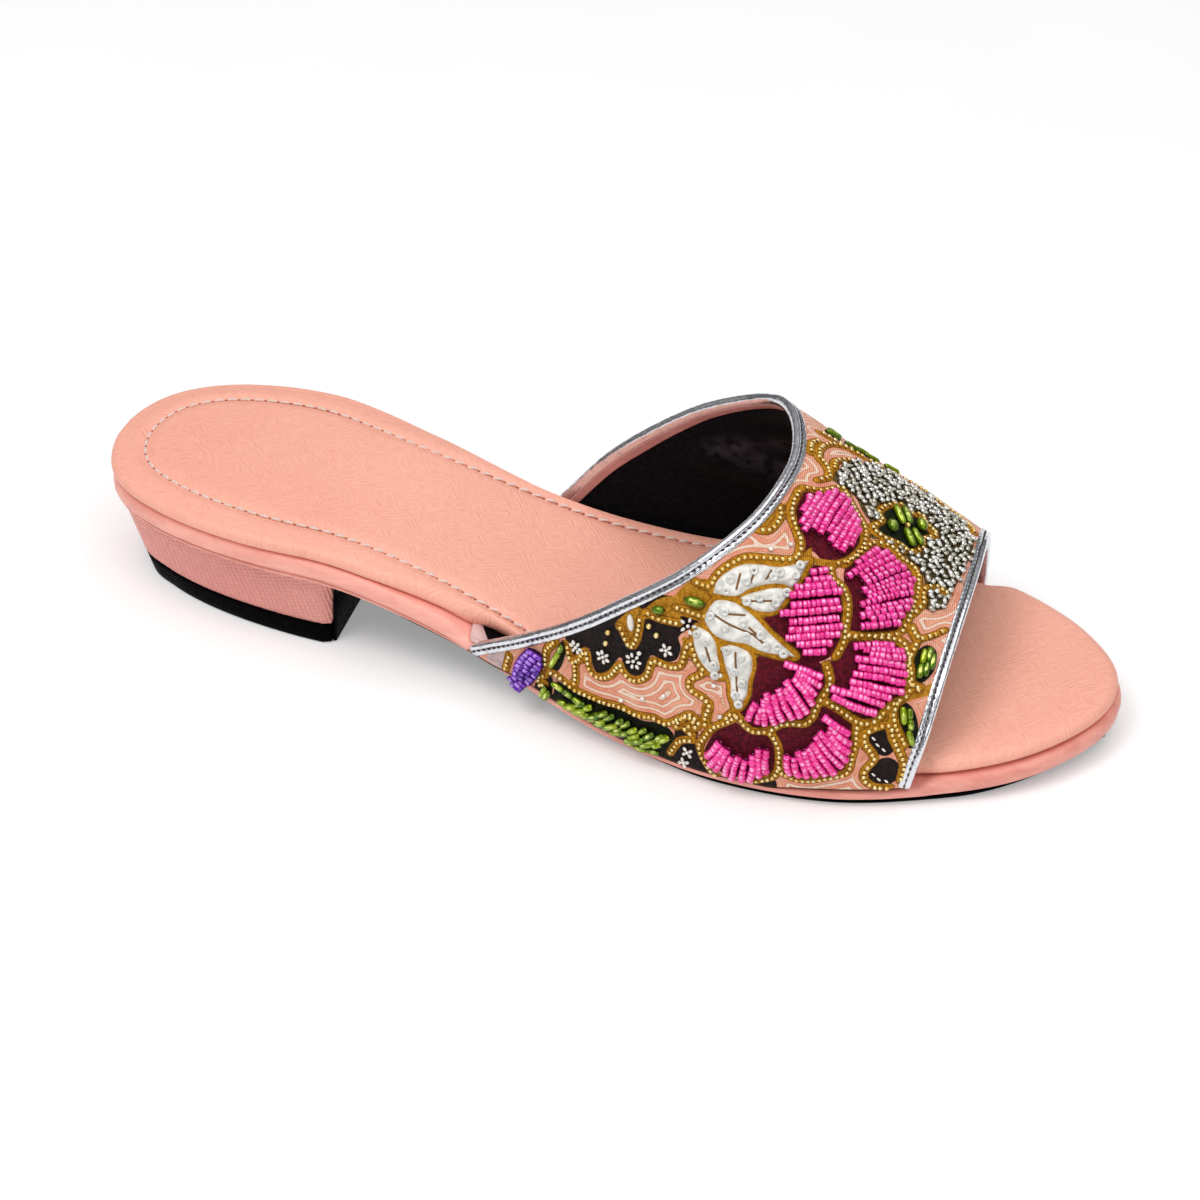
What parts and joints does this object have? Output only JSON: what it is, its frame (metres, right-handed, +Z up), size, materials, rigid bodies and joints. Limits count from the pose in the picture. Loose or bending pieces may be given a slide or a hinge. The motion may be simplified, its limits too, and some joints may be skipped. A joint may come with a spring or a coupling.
{
  "type": "beaded slide flat",
  "caption": "Right slip-on slide flat with a beaded floral vamp, silver-bound edges, open toe and back, padded insole and low block heel.",
  "frame": {"origin": "on the floor under the middle of the shoe's box", "axes": "+X from heel to toe, -Y to the outer (lateral) side, +Z up"},
  "size_m": [0.2512, 0.0894, 0.0659],
  "materials": {
    "black_rubber": "matte black",
    "pink_leather": "satin peach pink with a fine crossed grain",
    "printed_cloth": "matte printed cotton",
    "silver_binding": "silver foil",
    "pink_beads": "glossy glass-like beads",
    "white_leaves": "raised white enamel on cloth",
    "green_beads": "glossy bugle beads",
    "purple_beads": "glossy beads",
    "silver_beads": "silver-lined seed beads"
  },
  "bodies": {
    "root": {"outsole": "black_rubber", "heel_top_piece": "black_rubber", "heel_block": "pink_leather", "sole_board": "pink_leather", "insole": "pink_leather", "upper": "printed_cloth", "collar_binding": "silver_binding", "toe_binding": "silver_binding", "petal_1": "pink_beads", "petal_2": "pink_beads", "petal_3": "pink_beads", "petal_4": "pink_beads", "petal_5": "pink_beads", "petal_6": "pink_beads", "petal_7": "pink_beads", "white_leaf_1": "white_leaves", "white_leaf_2": "white_leaves", "white_leaf_3": "white_leaves", "white_leaf_4": "white_leaves", "white_leaf_5": "white_leaves", "green_leaf": "green_beads", "purple_flower": "purple_beads", "silver_bead_field": "silver_beads"}
  },
  "joints": []
}
